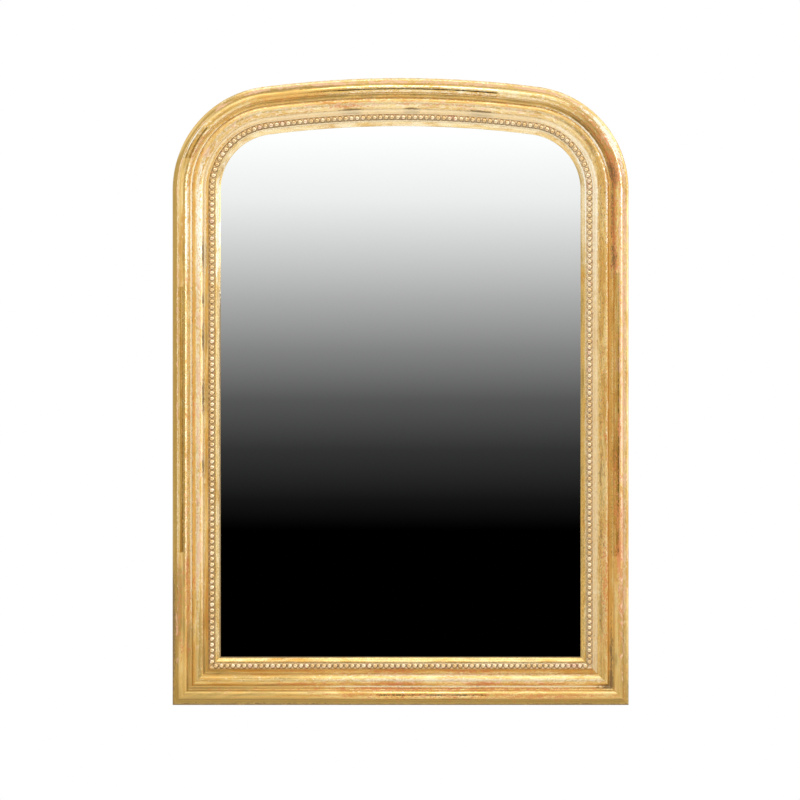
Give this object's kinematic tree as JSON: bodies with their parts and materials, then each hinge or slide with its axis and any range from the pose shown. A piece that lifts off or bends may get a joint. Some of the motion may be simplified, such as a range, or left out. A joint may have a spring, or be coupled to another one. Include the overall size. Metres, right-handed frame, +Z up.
{
  "type": "louis philippe mirror",
  "caption": "Arched gilt wall mirror with a stepped moulding, a beaded inner border, mitred bottom corners, nailed backboards and a swinging hanging ring on each stile.",
  "frame": {"origin": "middle of the back, on the wall plane, halfway between the sides and halfway between the bottom edge and the top of the crown", "axes": "+X to the right seen from the front, +Y into the wall, so the face looks along -Y, +Z up"},
  "size_m": [0.8, 0.05, 1.1],
  "materials": {
    "gilding": "pine and gesso, water-gilded over red bole, burnished along the middles and matte at the corners, worn",
    "gilt_beads": "cast composition beads, gilded, grime in the hollows",
    "silvered_glass": "clear plate, silvered and painted at the back",
    "pine": "old pine, ochre wash on the sides",
    "backboard_pine": "rough aged pine",
    "key_wood": "oak, planed flush",
    "hanger_brass": "dull rolled and drawn brass",
    "screw_steel": "darkened steel",
    "nail_iron": "rusty iron"
  },
  "bodies": {
    "frame": {"backboard_1": "backboard_pine", "backboard_2": "backboard_pine", "backboard_3": "backboard_pine", "backboard_4": "backboard_pine", "backboard_5": "backboard_pine", "backboard_nails": "nail_iron", "bead_strip_bottom": "gilt_beads", "bead_strip_crown": "gilt_beads", "bead_strip_left": "gilt_beads", "bead_strip_right": "gilt_beads", "bead_strip_top_left": "gilt_beads", "bead_strip_top_right": "gilt_beads", "bottom_rail": "pine", "crown_rail": "pine", "glass_blocks_bottom": "backboard_pine", "glass_blocks_crown": "backboard_pine", "glass_blocks_left": "backboard_pine", "glass_blocks_right": "backboard_pine", "hanger_screws_left": "screw_steel", "hanger_screws_right": "screw_steel", "hanger_strap_left": "hanger_brass", "hanger_strap_right": "hanger_brass", "inner_moulding_bottom": "gilding", "inner_moulding_crown": "gilding", "inner_moulding_left": "gilding", "inner_moulding_right": "gilding", "inner_moulding_top_left": "gilding", "inner_moulding_top_right": "gilding", "key_bottom_left": "key_wood", "key_bottom_right": "key_wood", "key_crown_left": "key_wood", "key_crown_right": "key_wood", "key_shoulder_left": "key_wood", "key_shoulder_right": "key_wood", "left_stile": "pine", "mirror_plate": "silvered_glass", "outer_moulding_bottom": "gilding", "outer_moulding_crown": "gilding", "outer_moulding_left": "gilding", "outer_moulding_right": "gilding", "outer_moulding_top_left": "gilding", "outer_moulding_top_right": "gilding", "right_stile": "pine", "sight_slip_bottom": "gilding", "sight_slip_crown": "gilding", "sight_slip_left": "gilding", "sight_slip_right": "gilding", "sight_slip_top_left": "gilding", "sight_slip_top_right": "gilding", "top_left_corner": "pine", "top_right_corner": "pine"},
    "ring_left": {"hanging_ring_left": "hanger_brass"},
    "ring_right": {"hanging_ring_right": "hanger_brass"}
  },
  "joints": [
    {"name": "left_ring_swing", "type": "hinge", "parent": "frame", "child": "ring_left", "pos_m": [-0.3765, -0.00445, 0.25], "axis": [1, 0, 0], "range_deg": [0, 180]},
    {"name": "right_ring_swing", "type": "hinge", "parent": "frame", "child": "ring_right", "pos_m": [0.3765, -0.00445, 0.25], "axis": [1, 0, 0], "range_deg": [0, 180]}
  ]
}
